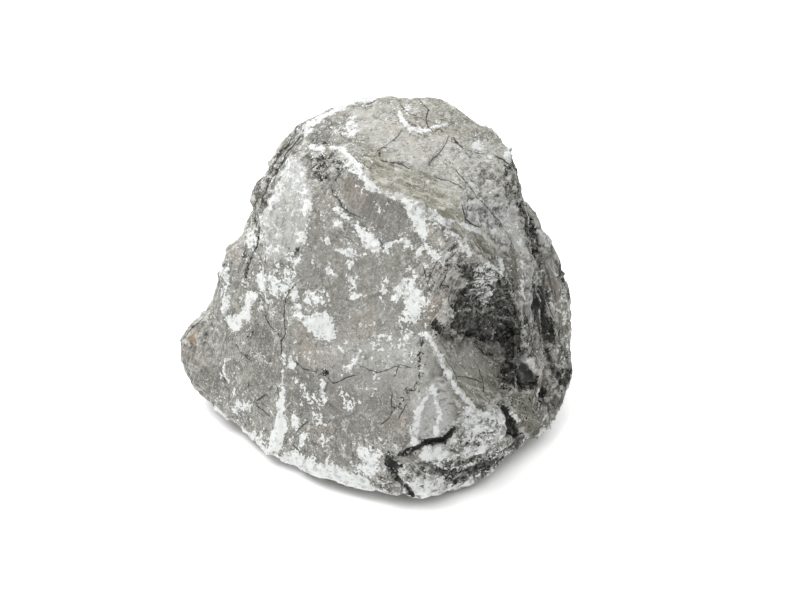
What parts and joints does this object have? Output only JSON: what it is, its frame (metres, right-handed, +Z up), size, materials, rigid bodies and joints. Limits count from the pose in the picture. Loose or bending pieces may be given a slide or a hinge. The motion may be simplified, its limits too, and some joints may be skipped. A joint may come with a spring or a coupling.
{
  "type": "rough rock",
  "caption": "Rough broken block of grey limestone with white calcite veins, a free-standing stone that rests on its own base.",
  "frame": {"origin": "middle of the stone's box, at the level of the base it rests on", "axes": "+Z up; the broad front fracture face looks towards -Y; +X to the right, along the stone's width"},
  "size_m": [0.1976, 0.1676, 0.1517],
  "materials": {
    "stone": "rough, freshly broken"
  },
  "bodies": {
    "root": {"rock": "stone"}
  },
  "joints": []
}
